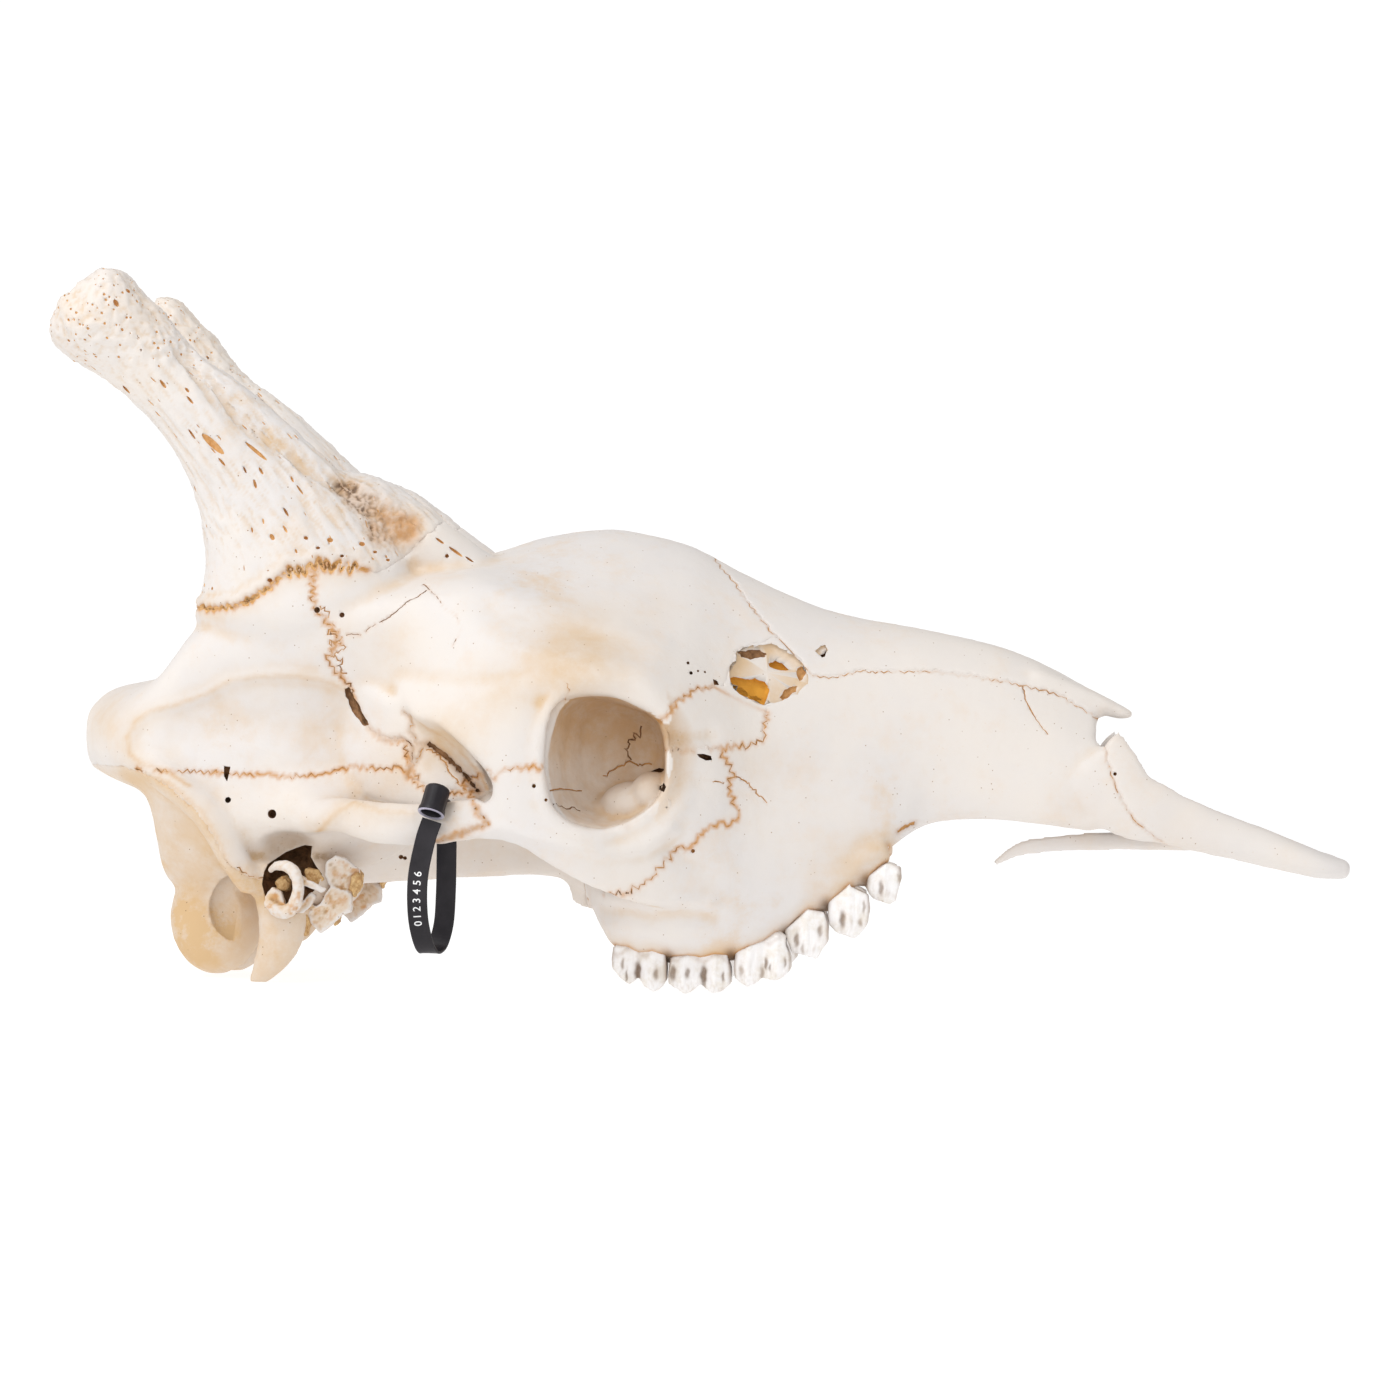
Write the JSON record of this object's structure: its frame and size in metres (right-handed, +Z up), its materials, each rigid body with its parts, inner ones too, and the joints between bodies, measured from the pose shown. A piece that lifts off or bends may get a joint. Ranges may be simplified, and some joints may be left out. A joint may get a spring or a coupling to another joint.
{
  "type": "giraffe skull",
  "caption": "Life-size giraffe skull without its lower jaw: dry bone with long ossicones, domed forehead, cheek teeth and a black loop tag.",
  "frame": {"origin": "middle of the outer box on the floor", "axes": "+X towards the muzzle, +Y towards the animal's left, +Z up"},
  "size_m": [0.6656, 0.2451, 0.3623],
  "materials": {
    "frontal": "dry pale bone, matt",
    "parietal": "dry pale bone, matt",
    "occipital": "dry tan bone, matt",
    "skull_base": "dry stained bone, matt",
    "ossicone": "dry pitted bone, matt",
    "nasal": "dry pale bone, matt",
    "premaxilla": "dry pale bone, matt",
    "jugal": "dry pale bone, matt",
    "lacrimal": "dry pale bone, matt",
    "temporal": "dry tan bone, matt",
    "maxilla": "dry pale bone, matt, with enamel teeth",
    "tag_strap": "black plastic, satin",
    "tag_lock": "black plastic, satin"
  },
  "bodies": {
    "root": {"frontal": "frontal", "parietal": "parietal", "occipital": "occipital", "skull_base": "skull_base", "ossicone_right": "ossicone", "ossicone_left": "ossicone", "nasal_right": "nasal", "nasal_left": "nasal", "premaxilla_right": "premaxilla", "premaxilla_left": "premaxilla", "jugal_right": "jugal", "jugal_left": "jugal", "lacrimal_right": "lacrimal", "lacrimal_left": "lacrimal", "temporal_right": "temporal", "temporal_left": "temporal", "maxilla_right": "maxilla", "maxilla_left": "maxilla", "tag_strap": "tag_strap", "tag_lock": "tag_lock"}
  },
  "joints": []
}
